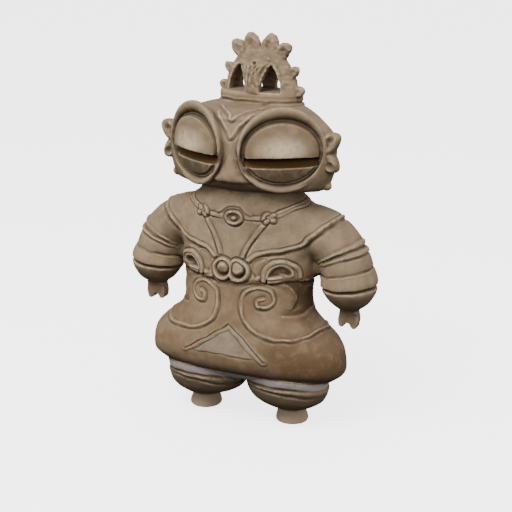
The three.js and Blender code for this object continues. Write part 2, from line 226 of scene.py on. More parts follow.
def smooth_line(corners, count):
    """Points spread evenly along a smooth curve through the corners."""
    corners = np.array(corners, float)
    before = 2 * corners[0] - corners[1]
    after = 2 * corners[-1] - corners[-2]
    knots = np.vstack([before, corners, after])
    gaps = np.maximum(np.linalg.norm(np.diff(knots, axis=0), axis=1) ** 0.5, 1e-6)
    curve = []
    for i in range(1, len(knots) - 2):
        start, end = knots[i], knots[i + 1]
        g0, g1, g2 = gaps[i - 1], gaps[i], gaps[i + 1]
        leave = (start - knots[i - 1]) / g0 - (end - knots[i - 1]) / (g0 + g1) + (end - start) / g1
        arrive = (end - start) / g1 - (knots[i + 2] - start) / (g1 + g2) + (knots[i + 2] - end) / g2
        t = np.linspace(0, 1, 40, endpoint=i == len(knots) - 3)[:, None]
        rise = t * t * (3 - 2 * t)
        bend = t * (1 - t) ** 2 * leave * g1 - t * t * (1 - t) * arrive * g1
        curve.append(start * (1 - rise) + end * rise + bend)
    curve = np.vstack(curve)
    run = np.concatenate([[0], np.cumsum(np.linalg.norm(np.diff(curve, axis=0), axis=1))])
    stops = np.linspace(0, run[-1], count)
    return np.stack([np.interp(stops, run, axis) for axis in curve.T], 1)


ring_slant = 0.035


def arm_place(angle, share, reach):
    share = height_at(arm_stations, share)
    radius, = sizes_at(arm_stations, share)
    slanted = np.clip((share - 0.3) / 0.15, 0, 1) * np.clip((0.86 - share) / 0.38, 0, 1)
    share = share + ring_slant * (1 + np.sin(angle)) * slanted
    spine = smooth_line(arm_spine, 400)
    steps = np.linspace(0, 1, len(spine))
    middle = np.stack([np.interp(share, steps, axis) for axis in spine.T])
    along = np.stack([np.interp(share, steps, axis) for axis in np.gradient(spine, axis=0).T])
    outward = np.stack([-along[2], along[0]]) / np.hypot(along[0], along[2])
    depth = 0.98 + 0.14 * np.clip((0.45 - share) / 0.1, 0, 1)
    side = radius * np.sin(angle) * reach
    ahead = radius * depth * np.cos(angle) * reach
    return middle[0] + outward[0] * side, middle[1] + ahead, middle[2] + outward[1] * side


def web_place(angle, share, reach):
    """Clay pressed into the armpit, between the arm and the waist."""
    polar = np.pi * share
    ring = np.sin(polar) * reach
    middle_x, middle_y, middle_z = 18.9, 0.4, 42.4
    half_width, half_depth, half_height = 2.0, 2.5, 3.2
    x = middle_x + half_width * ring * np.sin(angle)
    y = middle_y - half_depth * ring * np.cos(angle)
    return x, y, middle_z - half_height * np.cos(polar)


def plate(name, outline, thickness, middle):
    """A flat plate of the given [x, z] outline, with its thickness along the figure's depth."""
    bpy.ops.object.select_all(action="DESELECT")
    bpy.ops.mesh.primitive_circle_add(vertices=len(outline), fill_type="NGON")
    piece = bpy.context.object
    piece.name = name
    for vertex, (x, z) in zip(piece.data.vertices, outline):
        vertex.co = (x, middle - thickness / 2, z)
    bpy.ops.object.mode_set(mode="EDIT")
    bpy.ops.mesh.select_all(action="SELECT")
    bpy.ops.mesh.extrude_region_move(TRANSFORM_OT_translate={"value": (0, thickness, 0)})
    face_outward()
    return piece


def apply_modifier(piece, kind, **settings):
    """Adds one modifier to a piece with its settings and applies it."""
    pick(piece)
    modifier = piece.modifiers.new(kind.lower(), kind)
    for name, value in settings.items():
        setattr(modifier, name, value)
    bpy.ops.object.modifier_apply(modifier=modifier.name)


left_arm = closed_form("left arm", 80, 150, arm_place)
right_arm = mirror_copy(left_arm)
hand_x, hand_top, hand_tip = 27.1, 33.2, 27.6
hand_outline = [
    (hand_x + x, z) for x, z in [
        (-2.1, hand_top), (-2.5, hand_tip + 3.2), (-2.65, hand_tip + 2.0), (-2.5, hand_tip + 0.5),
        (-2.0, hand_tip - 0.1), (-1.2, hand_tip), (-0.7, hand_tip + 0.9), (-0.2, hand_tip + 1.2),
        (0.4, hand_tip + 0.9), (0.9, hand_tip), (1.4, hand_tip - 0.35), (2.2, hand_tip - 0.1),
        (2.7, hand_tip + 2.0), (2.5, hand_tip + 3.2), (2.1, hand_top),
    ]
]
left_web = closed_form("left web", 40, 30, web_place)
right_web = mirror_copy(left_web)
left_hand = plate("left hand", hand_outline, 3.0, -0.3)
apply_modifier(left_hand, "BEVEL", width=0.7, segments=3, limit_method="ANGLE")
right_hand = mirror_copy(left_hand)

# The head
# A wide, hollow head, flat below and steep in front, with a low flat top that carries the
# crown. The goggles are set into its front, and its ears and jaw carry small clay knobs.
head_stations = [
    [61.2, 18.4, 7.6, 7.6],
    [62.0, 20.2, 9.4, 9.0],
    [63.8, 21.2, 10.8, 10.0],
    [66.1, 21.9, 11.6, 10.9],
    [69.0, 22.2, 11.9, 11.6],
    [71.9, 22.3, 12.0, 12.0],
    [74.4, 22.0, 11.9, 12.2],
    [76.6, 20.1, 11.5, 12.2],
    [78.7, 17.5, 11.0, 12.1],
    [80.2, 15.0, 10.2, 11.9],
    [80.9, 13.0, 6.0, 11.4],
]


def head_place(angle, share, reach):
    height = height_at(head_stations, share)
    half_width, front, back = sizes_at(head_stations, height)
    x, y = oval(angle, half_width, front, back, 1.5, 2.1)
    return x * reach, y * reach, height


head = closed_form("head", 128, 80, head_place)
nose_stations = [
    [63.7, 5.6, 2.2], [64.5, 7.0, 3.7], [66.5, 5.6, 3.9], [69.0, 3.5, 3.6],
    [71.5, 2.0, 3.2], [74.0, 1.2, 2.4],
]
nose_root = 8.8


def nose_place(angle, share, reach):
    height = height_at(nose_stations, share)
    half_width, front = sizes_at(nose_stations, height)
    x, y = oval(angle, half_width, front, 3.0, 1.6, 1.6)
    return x * reach, y * reach - nose_root, height


nose = closed_form("nose", 48, 40, nose_place)


def knob(name, place, half_sizes, lean=0.0, dent=0.0, taper=0.0):
    """A pressed-on lump of clay, turned about the front axis, with a thumb dent in its face."""
    def knob_place(angle, share, reach):
        polar = np.pi * share
        ring = np.sin(polar) * reach
        x, y, z = ring * np.sin(angle), -ring * np.cos(angle), -np.cos(polar)
        hollow = dent * np.exp(-(x * x + z * z) / 0.3)
        y = y * (1 - hollow)
        x = x * (1 - taper * z)
        x, y, z = x * half_sizes[0], y * half_sizes[1], z * half_sizes[2]
        turn_x = x * np.cos(lean) + z * np.sin(lean)
        turn_z = z * np.cos(lean) - x * np.sin(lean)
        return turn_x + place[0], y + place[1], turn_z + place[2]
    return closed_form(name, 32, 25, knob_place)


left_knobs = [
    knob("upper ear", (21.0, -0.9, 73.6), (2.6, 2.7, 3.5), 0.95, 0.6, 0.25),
    knob("lower ear", (20.9, -0.7, 69.0), (2.5, 2.6, 3.4), 2.3, 0.5, 0.25),
    knob("jaw knob", (20.3, 0, 62.8), (1.3, 1.2, 1.2)),
]
right_knobs = [mirror_copy(piece) for piece in left_knobs]

# The goggles
# Each goggle is a drum set into the head: a thick rolled rim, a fine line inside it, and a
# swollen lid cut across by one deep slit, with the upper lid hanging over the lower one.
eye_middle = np.array([11.4, -7.2, 72.2])
eye_turn = np.radians(30)
eye_out = np.array([np.sin(eye_turn), -np.cos(eye_turn), 0])
eye_side = np.array([np.cos(eye_turn), np.sin(eye_turn), 0])
goggle_stations = [
    [0.00, -6.0, 8.6, 6.8, 0.0],
    [0.30, -0.6, 10.7, 10.2, -0.05],
    [0.36, 0.2, 10.8, 10.35, -0.05],
    [0.40, 0.62, 10.7, 10.2, -0.1],
    [0.44, 0.8, 10.5, 9.8, -0.2],
    [0.48, 0.8, 10.3, 9.3, -0.3],
    [0.52, 0.6, 10.1, 8.75, -0.4],
    [0.55, 0.2, 9.9, 8.4, -0.5],
    [0.58, -0.35, 9.75, 8.1, -0.5],
    [0.61, -0.3, 9.65, 7.95, -0.5],
    [0.64, 0.15, 9.5, 7.75, -0.5],
    [0.67, 0.0, 9.35, 7.55, -0.5],
    [0.70, -0.25, 9.25, 7.4, -0.5],
    [0.74, 0.4, 8.9, 7.1, -0.5],
    [0.80, 1.0, 8.0, 6.4, -0.5],
    [0.88, 1.6, 6.0, 4.8, -0.5],
    [0.95, 2.0, 3.0, 2.4, -0.5],
    [1.00, 2.1, 0.4, 0.3, -0.5],
]
slit_top, slit_bottom, slit_length = -1.4, -4.1, 9.0
slit_middle, slit_narrowing = (slit_top + slit_bottom) / 2, 0.2
lid_reach, upper_lid_height, lower_lid_height = 9.4, 9.2, 4.6
upper_swell, lower_swell, lid_edge_out = 2.85, 1.2, 0.25


def eye_place(out, side, up):
    x, y, z = (eye_middle[:, None] + eye_out[:, None] * out + eye_side[:, None] * side)
    return x, y, z + up


def goggle_place(angle, share, reach):
    out, half_width, half_height, drop = sizes_at(goggle_stations, share)
    side = half_width * np.cos(angle) * reach
    up = half_height * np.sin(angle) * reach + drop
    on_lid = share > 0.7
    upper = 1 - (side / lid_reach) ** 2 - ((up - slit_top) / upper_lid_height) ** 2
    lower = 1 - (side / lid_reach) ** 2 - ((up - slit_bottom) / lower_lid_height) ** 2
    lid = np.where(
        up > slit_middle,
        upper_swell * np.clip(upper, 0, 1) ** 0.6,
        lower_swell * np.clip(lower, 0, 1) ** 0.6,
    )
    fade = np.clip((share - 0.7) / 0.05, 0, 1)
    lid_out = -lid_edge_out + (lid + lid_edge_out) * fade
    return eye_place(np.where(on_lid, lid_out, out), side, up)


def socket_place(angle, share, reach):
    """The round hole that each goggle is set into."""
    half_width, half_height, length, start = 9.9, 9.0, 11, -3
    side = half_width * np.cos(angle) * reach
    return eye_place(share * length + start, side, half_height * np.sin(angle) * reach)


def slit_place(angle, share, reach):
    along = share * 2 - 1
    narrow = 1 - slit_narrowing * along * along
    floor = 1.7 - 1.3 * along * along
    corner = np.rint(angle / (np.pi / 2)).astype(int) % 4
    outs = np.stack([floor - 1.6, np.full_like(floor, 4.0), np.full_like(floor, 4.0), floor - 0.9])
    ups = np.array([slit_top, slit_top, slit_bottom, slit_bottom])
    out = 2.5 + (outs[corner, np.arange(len(corner))] - 2.5) * reach
    up = slit_middle + (ups[corner] - slit_middle) * reach * narrow
    return eye_place(out, along * slit_length, up)


def cut(piece, cutter):
    """Takes the cutter's form out of a piece, and throws the cutter away."""
    apply_modifier(piece, "BOOLEAN", operation="DIFFERENCE", solver="EXACT", object=cutter)
    bpy.data.objects.remove(cutter)


left_socket = closed_form("left socket", 80, 4, socket_place)
right_socket = mirror_copy(left_socket)
cut(head, left_socket)
cut(head, right_socket)
left_goggle = closed_form("left goggle", 128, 110, goggle_place)
cut(left_goggle, closed_form("slit", 4, 40, slit_place))
right_goggle = mirror_copy(left_goggle)

# The crown
# A low oval ring on the back of the head carries an open dome: a carved front pillar, a back
# one and two side arches with windows between, and eight thumbed lugs along the top.
crown_middle = 6.8
ring_base, ring_top = 80.0, 83.9
dome_height, dome_top = 9.3, 93.2
crown_wall = 1.91
ring_stations = [
    [ring_base, 11.45, 5.4], [81.3, 11.3, 5.35], [81.5, 11.1, 5.2], [81.75, 11.05, 5.15],
    [82.0, 11.15, 5.25], [83.2, 11.0, 5.15], [83.7, 10.8, 5.0],
    [ring_top, 10.4, 4.7],
]


def up_dome(share):
    return ring_top + share * dome_height


dome_stations = [
    [ring_base, 10.8, 5.0], [up_dome(0.05), 10.4, 4.7], [up_dome(0.54), 8.8, 4.1],
    [up_dome(0.86), 6.7, 3.1], [dome_top, 4.6, 1.6],
]


def crown_form(name, stations, sides=96, rows=50):
    def crown_place(angle, share, reach):
        height = height_at(stations, share)
        half_width, half_depth = sizes_at(stations, height)
        x, y = oval(angle, half_width, half_depth, half_depth, 2.2, 2.2)
        return x * reach, y * reach + crown_middle, height
    return closed_form(name, sides, rows, crown_place)


ring = crown_form("crown ring", ring_stations)
dome = crown_form("dome", dome_stations)
hollow_stations = []
for height in np.linspace(ring_top, dome_top - crown_wall, 9):
    half_width, half_depth = sizes_at(dome_stations, np.array([height + crown_wall / 2]))[:, 0]
    half_hollow = max(1.5, half_depth - crown_wall / 1.6)
    hollow_stations.append([height, half_width - crown_wall, half_hollow])
cut(dome, crown_form("hollow", hollow_stations, 64, 20))


def bent(start, pull, end, count):
    """Points along an arc from start to end that is drawn towards the pull."""
    t = np.linspace(0, 1, count)[:, None]
    start, pull, end = np.array(start), np.array(pull), np.array(end)
    return start * (1 - t) ** 2 + pull * 2 * t * (1 - t) + end * t * t


springing, window_tip = up_dome(0.505), (4.6, up_dome(0.72))
window_outer = bent((7.6, ring_top), (7.2, springing), window_tip, 12)
window_inner = bent(window_tip, (2.6, springing), (1.9, ring_top), 12)
window_outline = np.vstack([window_outer, window_inner[1:]])
for side in (1, -1):
    outline = [(x * side, z) for x, z in window_outline]
    cut(dome, plate("window", outline, 16, crown_middle))
lug_sizes = [
    [10.9, up_dome(0.04), 1.4, 1.2, 1.7, 1.3],
    [9.2, up_dome(0.53), 1.5, 1.2, 1.9, 1.05],
    [6.5, dome_top + 0.6, 2.0, 1.5, 2.6, 0.85],
    [2.65, dome_top + 1.85, 2.35, 1.6, 3.0, 0.27],
]
left_lugs = [
    knob("lug", (x, crown_middle, z), (half_width, half_depth, half_length), lean, 0.5, 0.14)
    for x, z, half_width, half_depth, half_length, lean in lug_sizes
]
right_lugs = [mirror_copy(piece) for piece in left_lugs]
crest = knob("crest", (0, crown_middle, dome_top), (5.2, 1.7, 1.25))
pillar_stations = [
    [83.6, 2.3, 0.5], [84.4, 2.15, 0.8], [86.0, 2.0, 1.0], [88.0, 2.1, 0.95],
    [90.0, 2.9, 0.7], [91.8, 3.8, 0.35], [93.0, 3.4, 0.2], [93.9, 2.0, 0.1],
]


def pillar_place(angle, share, reach):
    height = height_at(pillar_stations, share)
    half_width, bulge = sizes_at(pillar_stations, height)
    wall_front = crown_middle - sizes_at(dome_stations, np.minimum(height, dome_top))[1]
    x, y = oval(angle, half_width, bulge, 0.9, 2, 2)
    return x * reach, wall_front + y * reach, height


pillar = closed_form("front pillar", 40, 40, pillar_place)
crown_turn = Matrix.Rotation(np.radians(-9), 4, "Z")
crown_centre = Matrix.Translation((0, crown_middle, 0))
for piece in [dome, pillar, crest, *left_lugs, *right_lugs]:
    piece.data.transform(crown_centre @ crown_turn @ crown_centre.inverted())

# The whole figure
# The forms are pressed together into one skin of clay, as the potter did, and their joins
# are smoothed over. The bands and scrolls that follow are all worked into this skin.
pick(
    body, left_leg, right_leg, left_arm, right_arm, left_web, right_web, left_hand, right_hand,
    head, nose, *left_knobs, *right_knobs, left_goggle, right_goggle,
    ring, dome, pillar, crest, *left_lugs, *right_lugs,
)
bpy.ops.object.join()
figure = body
grain = 0.14
apply_modifier(figure, "REMESH", mode="VOXEL", voxel_size=grain, adaptivity=0)
apply_modifier(figure, "SMOOTH", factor=0.5, iterations=5)
figure.name = "clay_figure"
skin = np.empty((len(figure.data.vertices), 3), np.float32)
figure.data.vertices.foreach_get("co", skin.ravel())
from_middle, skin_height = np.abs(skin[:, 0]), skin[:, 2]
on_shoulder = (from_middle > 12) & (from_middle < 22) & (skin_height > 46.5) & (skin_height < 58)
in_armpit = (from_middle > 16) & (from_middle < 21.2) & (skin_height > 38.8) & (skin_height < 46.5)
shoulders = figure.vertex_groups.new(name="shoulders")
on_crest = (skin_height > 90.9) & (skin_height < 93.9) & (skin[:, 1] < crown_middle - 0.4)
shoulders.add(np.flatnonzero(on_shoulder | in_armpit | on_crest).tolist(), 1.0, "REPLACE")
apply_modifier(figure, "SMOOTH", factor=0.5, iterations=300, vertex_group="shoulders")
figure.data.vertices.foreach_get("co", skin.ravel())
outward = np.empty_like(skin)
figure.data.vertex_normals.foreach_get("vector", outward.ravel())
edge_ends = np.empty((len(figure.data.edges), 2), np.int32)
figure.data.edges.foreach_get("vertices", edge_ends.ravel())
edge_count = np.bincount(edge_ends.ravel(), minlength=len(skin))
skin_tree = BVHTree.FromObject(figure, bpy.context.evaluated_depsgraph_get())
chance = np.random.default_rng(11)


def blended(values, times):
    """Values over the skin, averaged with their neighbours a number of times."""
    start, end = edge_ends.T
    for _ in range(times):
        near = np.bincount(start, values[end], len(skin))
        near += np.bincount(end, values[start], len(skin))
        values = (values + near / edge_count) / 2
    return values


def blended_points(points, times):
    return np.stack([blended(axis, times) for axis in points.T], 1)


def swell(length, waves=7):
    """A smooth, uneven swell over the skin, mostly between -1 and 1, with waves of this length."""
    total = np.zeros(len(skin))
    for _ in range(waves):
        heading = chance.normal(size=3)
        heading *= 2 * np.pi / length / np.linalg.norm(heading)
        total += np.sin(skin @ heading + chance.uniform(0, 2 * np.pi))
    return total / waves ** 0.5


outward = blended_points(outward, 4)
outward /= np.linalg.norm(outward, axis=1)[:, None]
hand_slip = 0.1
slipped = skin + hand_slip * np.stack([swell(11) + swell(4) for _ in range(3)], 1)
in_front = np.clip(-skin[:, 1] / 4, 0, 1) * (skin[:, 2] < 60)
askew = (0.5 + 1.45 * np.clip((27 - skin[:, 2]) / 8, 0, 1)) * in_front
folded = np.stack([np.abs(slipped[:, 0] + askew), slipped[:, 1], slipped[:, 2]], 1)
rise = np.zeros(len(skin))
# Painted shade, laid beside the bands, in dents and under lumps, darkens the clay's colour.
painted_shade = np.zeros(len(skin))


def front(x, z):
    """The place on the skin that is seen from straight ahead at this x and z."""
    return tuple(skin_tree.ray_cast(Vector((x, -60, z)), Vector((0, 1, 0)))[0])


def on_front(places):
    return [front(x, z) for x, z in places]


def behind(x, z):
    return tuple(skin_tree.ray_cast(Vector((x, 60, z)), Vector((0, -1, 0)))[0])


def press(layer, chosen, across, deep, section, keeps, strength=1.0):
    """Lays a section of [across, amount] steps on the chosen points, over what was there."""
    places, amounts = np.array(section, float).T
    hold = np.clip(np.minimum(across - places[0], places[-1] - across) / 0.2, 0, 1)
    hold *= np.clip(2.0 - np.abs(deep), 0, 1) * strength
    layer[chosen] += hold * (np.interp(across, places, amounts) - (1 - keeps) * layer[chosen])


path_step, most_at_once = 0.12, 20000


def lay(corners, section, layer=rise, keeps=0, sides=folded, fade=0.0):
    """Lays a section along a smooth path over the skin, with ends that die away over the fade."""
    corners = np.array(corners, float)
    length = np.linalg.norm(np.diff(corners, axis=0), axis=1).sum()
    stops = smooth_line(corners, int(length / path_step) + 2)
    hits = [skin_tree.find_nearest(Vector(stop))[:2] for stop in stops]
    path, facing = (np.array(values) for values in zip(*hits))
    near = range(-9, 10)
    last = len(path) - 1
    facing = sum(facing[np.clip(np.arange(last + 1) + step, 0, last)] for step in near)
    facing /= np.linalg.norm(facing, axis=1)[:, None]
    along = np.gradient(path, axis=0)
    aside = np.cross(facing, along)
    reach = max(-section[0][0], section[-1][0])
    inside = (sides > path.min(0) - reach) & (sides < path.max(0) + reach)
    chosen = np.flatnonzero(inside.all(1))
    for some in np.array_split(chosen, len(chosen) // most_at_once + 1):
        nearest = np.argmin((path ** 2).sum(1) - 2 * sides[some] @ path.T, axis=1)
        gap = sides[some] - path[nearest]
        deep = (gap * facing[nearest]).sum(1)
        flat = gap - deep[:, None] * facing[nearest]
        across = np.copysign(np.linalg.norm(flat, axis=1), (flat * aside[nearest]).sum(1))
        from_end = np.minimum(nearest, last - nearest) * path_step
        strength = np.clip(from_end / fade, 0, 1) if fade else 1.0
        press(layer, some, across, deep, section, keeps, strength)


def dab(place, section, stretch=1.0, lean=0.0, layer=rise, keeps=0, sides=folded):
    """Lays a round section about one place on the skin, from its middle outwards."""
    facing = np.array(skin_tree.find_nearest(Vector(place))[1])
    level = np.cross([0, 0, 1], facing)
    level /= np.linalg.norm(level)
    upright = np.cross(facing, level)
    reach = section[-1][0] * max(1, stretch)
    chosen = np.flatnonzero((np.abs(sides - place) < reach).all(1))
    gap = sides[chosen] - place
    wide, tall = gap @ level, gap @ upright
    turned = wide * np.cos(lean) + tall * np.sin(lean)
    tall = tall * np.cos(lean) - wide * np.sin(lean)
    middle = [(-0.3, section[0][1])]
    press(layer, chosen, np.hypot(turned / stretch, tall), gap @ facing, middle + section, keeps)


def both(corners, section, halo=0.75, **how):
    """Lays a section on the skin, and painted shade a little wider than its grooves."""
    lay(corners, section, **how)
    low = [place for place, amount in section if amount < -0.1]
    if low:
        shade_section = [(low[0] - 0.9, 0), (low[0], halo), (low[0] + 0.35, halo * 0.4)]
        if low[-1] - low[0] > 0.8:
            shade_section += [(low[-1] - 0.35, halo * 0.4), (low[-1], halo), (low[-1] + 0.9, 0)]
        else:
            shade_section += [(low[-1] + 0.36, halo * 0.4), (low[-1] + 0.9, 0)]
        lay(corners, shade_section, **{**how, "layer": painted_shade, "keeps": 0})


# The chest bands
# A cape's edge, straps, a collar and a band across the chest, laid on as thin rolls of soft
# clay and pressed along both sides with a stick, so that each stands between two grooves.
cape_lift = [(-0.6, 0), (0.0, 0.2), (1.5, 0.2), (5.0, 0)]
cape_edge = [
    (-2.3, 0), (-1.2, -0.05), (-0.9, -0.26), (-0.5, -0.42), (-0.15, -0.15),
    (0.1, 0.2), (0.35, 0.34), (0.65, 0.28), (1.0, 0.04), (1.4, 0.0),
]
band = [(-1.0, 0), (-0.7, -0.26), (-0.4, 0.14), (0.0, 0.12), (0.3, 0.1), (0.6, -0.2), (0.95, 0)]
strap = [(-1.1, 0), (-0.75, -0.14), (-0.45, 0.1), (0.0, 0.24), (0.4, 0.2), (0.75, -0.36), (1.2, 0)]
collar = [
    (-1.2, 0), (-0.85, -0.2), (-0.55, 0.12), (-0.3, 0.2), (0.0, 0.0),
    (0.3, 0.2), (0.55, 0.12), (0.85, -0.3), (1.2, 0),
]
fine_line = [(-0.6, 0), (-0.3, -0.18), (0.0, 0.06), (0.3, 0.14), (0.6, 0)]
cape_corners = [
    *on_front([(5.0, 44.4), (6.8, 45.9), (9.8, 46.6), (13.0, 47.2), (15.6, 48.1)]),
    (18.2, -4.1, 49.8), (21.2, -3.4, 52.2), (23.2, -0.4, 53.9), (23.7, 2.1, 54.4),
    (23.0, 4.5, 53.5), (20.5, 7.0, 51.0), behind(18, 49.2), behind(12, 48.4),
    behind(6, 48.0), behind(0, 47.9),
]
lay(cape_corners, cape_lift, keeps=1)
both(cape_corners, cape_edge, halo=0.9)
knot_place = (8.9, 55.2)
collar_corners = [
    *on_front([knot_place, (11.6, 56.5), (14.4, 57.6)]), (15.4, 1.2, 58.4),
    (13.4, 5.6, 58.8), behind(8, 58.6), behind(0, 58.3),
]
both(collar_corners, collar, halo=0.6)
both(on_front([knot_place, (5.6, 50.6), (3.4, 46.4), (2.7, 43.4)]), strap)
both(on_front([(-1.0, 55.0), (4.5, 55.0), knot_place]), band, halo=0.6)

# The pendant and the knots
# A small ring with a pierced dot hangs in the middle of the band, under a thin arch, and a
# twisted knot of clay covers each place where the straps leave the collar.
pendant_height = 54.7
arch = [(-1.0, 57.6), (0, 57.65), (1.2, 57.5), (2.2, 56.9), (3.1, 56.1), (4.2, 55.7)]
both(on_front(arch), fine_line, halo=0.5)
turn = np.linspace(-0.3, np.pi + 0.3, 18)
pendant_ring = [front(1.95 * np.sin(a), pendant_height + 1.35 * np.cos(a)) for a in turn]
dab(front(0, pendant_height), [(0, -0.15), (1.3, -0.15), (1.7, 0)], 1.3)
both(pendant_ring, [
    (-0.6, -0.1), (-0.4, -0.25), (-0.15, 0.2), (0.15, 0.38), (0.45, 0.2), (0.7, -0.3), (1.1, 0),
], halo=0.8)
pierced_dot = front(0, pendant_height - 0.2)
dab(pierced_dot, [(0, 0.3), (0.35, 0.2), (0.6, -0.3), (0.9, -0.35), (1.1, 0)], 1.2)
# Painted shade round the pierced dot.
dab(pierced_dot, [(0, 0), (0.45, 0.1), (0.7, 0.8), (1.0, 0.3), (1.3, 0)], 1.2, layer=painted_shade)
knot_lumps = [
    (8.3, 55.5, 1.0, 0.9), (9.6, 55.0, 0.85, -0.4), (9.9, 56.0, 0.6, 0.3), (8.4, 54.4, 0.6, 0.5),
]
for x, z, size, lean in knot_lumps:
    lump = [(0, 0.6), (0.6, 0.5), (0.95, 0.1 / size), (1.25, -0.24 / size), (1.6, 0)]
    lump = [(place * size, amount * size) for place, amount in lump]
    dab(front(x, z), lump, 1.35, lean, keeps=0.35)
    # A ring of painted shade round each lump.
    shade_section = [(0, 0), (0.8 * size, 0), (1.2 * size, 0.7), (1.8 * size, 0)]
    dab(front(x, z), shade_section, 1.35, lean, layer=painted_shade, keeps=0.5)

# The belt
# A belt runs round the waist under two beads in rings, with a flat-bottomed loop on each
# side of them and a smooth pad in the corner between ring, loop and cape.
around_waist = np.radians(np.linspace(-20, 180, 27))
belt_share = np.full(27, share_at(body_stations, belt_height))
belt_corners = np.stack(body_place(around_waist, belt_share, 1.0), 1)
both(belt_corners, [
    (-1.6, 0), (-1.0, -0.25), (-0.5, -0.5), (-0.1, -0.15),
    (0.15, 0.2), (0.45, 0.25), (0.8, 0.0), (1.2, 0),
], halo=1.0)
pad = [
    (5.4, 42.2), (6.0, 44.4), (7.3, 45.3), (9.1, 45.2),
    (8.4, 43.8), (7.6, 41.9), (6.6, 41.0), (5.4, 42.2),
]
pad_corners = on_front(pad)
lay(pad_corners, [(-1.8, 0.1), (-0.7, 0.08), (-0.3, -0.06), (0.0, -0.24), (0.5, 0)])
# Painted shade along the pad's edge.
lay(pad_corners, [(-1.8, 0.25), (-0.7, 0.3), (-0.1, 0.6), (0.6, 0)], painted_shade)
loop_arch = [
    (8.1, 40.2), (8.3, 41.8), (8.9, 43.1), (10.1, 44.2), (11.9, 44.7),
    (14.0, 44.3), (15.5, 43.3), (16.2, 42.0), (16.3, 40.6),
]
both(on_front(loop_arch), [
    (-0.9, 0.1), (-0.6, 0.3), (-0.3, 0.42), (0.0, 0.36), (0.3, 0.2), (0.6, -0.24), (1.0, 0),
])
loop_rim = [
    (9.3, 40.7), (9.7, 42.0), (10.6, 43.1), (11.9, 43.5), (13.3, 43.3),
    (14.4, 42.6), (14.8, 41.7), (14.4, 40.9), (12.5, 40.6), (9.3, 40.7),
]
loop_corners = on_front(loop_rim)
lay(loop_corners, [
    (-2.0, -0.75), (-0.7, -0.75), (-0.4, -0.4), (-0.15, 0.1), (0.15, 0.36), (0.4, 0.2), (0.6, -0.1),
])
# Painted shade in the loop's hollow and beside its rim.
lay(loop_corners, [(-2.0, 1), (-0.7, 1), (-0.3, 0.5), (-0.1, 0), (0.3, 0), (0.6, 0.3)], painted_shade)
dab(front(7.0, 40.6), [(0, 0.5), (0.45, 0.4), (0.8, 0)], keeps=1)
bead_ring = [
    (0, -0.5), (1.7, -0.5), (2.0, 0.0), (2.3, 0.42), (2.6, 0.4), (2.9, 0.05), (3.2, -0.3), (3.7, 0),
]
dab(front(2.2, 41.9), bead_ring)
# Painted shade inside the bead's ring and round its outer groove.
dab(front(2.2, 41.9), [(0, 1), (1.8, 1), (2.1, 0), (2.8, 0), (3.15, 0.9), (3.9, 0)], layer=painted_shade)
bead = [(0, 1.1), (0.6, 1.02), (1.1, 0.75), (1.5, 0.25), (1.7, -0.2), (1.75, -0.3)]
dab(front(2.15, 42.45), bead)
# Painted shade round the bead, and a painted shadow under it.
dab(front(2.15, 42.45), [(0, 0), (1.1, 0.1), (1.6, 0.8)], layer=painted_shade)
dab(front(2.15, 41.1), [(0, 0.9), (0.5, 0.7), (1.1, 0)], 1.5, layer=painted_shade, keeps=1)

# The skirt's scrolls
# A long scroll is drawn on each side of the skirt, from a curl under the belt round to the
# hip, with a short fold beside it, and a pointed apron of double lines between the two.
scroll = [
    (-1.1, 0), (-0.6, -0.22), (-0.25, 0.02), (0.05, 0.24), (0.35, 0.2), (0.7, -0.08), (1.1, 0),
]
scroll_plan = [
    (8.4, 35.3), (7.1, 34.7), (7.4, 33.1), (9.4, 32.8), (11.2, 34.4), (10.3, 37.1), (6.9, 38.1),
    (4.0, 36.6), (3.1, 33.4), (3.9, 30.0), (6.4, 27.2), (10.0, 25.6), (14.0, 25.2), (18.0, 25.4),
]
scroll_corners = on_front(scroll_plan)
scroll_corners += [(20.8, -2.5, 26.0), (21.6, 1.0, 26.6), (20.5, 4.0, 27.2)]
both(scroll_corners, scroll, halo=0.5)
fold = [(11.5, 39.0), (13.4, 38.6), (14.9, 37.2), (15.4, 35.2), (14.9, 33.2), (13.9, 31.2)]
fold_corners = on_front(fold)
lay(fold_corners, [
    (-1.2, 0), (-0.3, 0.16), (0.0, 0.14), (0.4, -0.24), (1.2, -0.16), (2.8, 0),
], fade=2.0)
# Painted shade beside the fold.
lay(fold_corners, [(-0.1, 0), (0.3, 1), (1.5, 0.9), (3.6, 0)], painted_shade, keeps=1, fade=2.0)
waist_crease = [front(13.8, 31.0), front(15.8, 30.7), (17.2, -3.0, 31.3), (17.9, 1.0, 31.8)]
lay(waist_crease, [(-1.4, 0), (-0.6, 0.12), (-0.2, 0.05), (0.15, -0.2), (0.6, -0.1), (1.6, 0)])
# Painted shade along the crease.
lay(waist_crease, [(-0.3, 0), (0.1, 0.7), (0.8, 0.5), (2.0, 0)], painted_shade)
apron_top, apron_foot, apron_half_width = 28.3, 19.9, 11.0
apron_sides = [
    (-1.8, 0), (-1.45, -0.14), (-1.1, 0.08), (-0.5, 0.08), (-0.15, -0.2), (0.15, 0.14), (0.5, 0),
]
apron_height = apron_top - apron_foot
side_line = [
    front(apron_half_width * t, apron_top - apron_height * t) for t in np.linspace(-0.1, 1, 8)
]
foot_line = [
    front(apron_half_width * t, apron_foot + 0.3 * (1 - t)) for t in np.linspace(-0.1, 0.98, 7)
]
both(foot_line, [(-0.6, 0), (-0.25, -0.18), (0.1, 0.06), (0.5, 0)], halo=0.5)
both(side_line, apron_sides, halo=0.5)

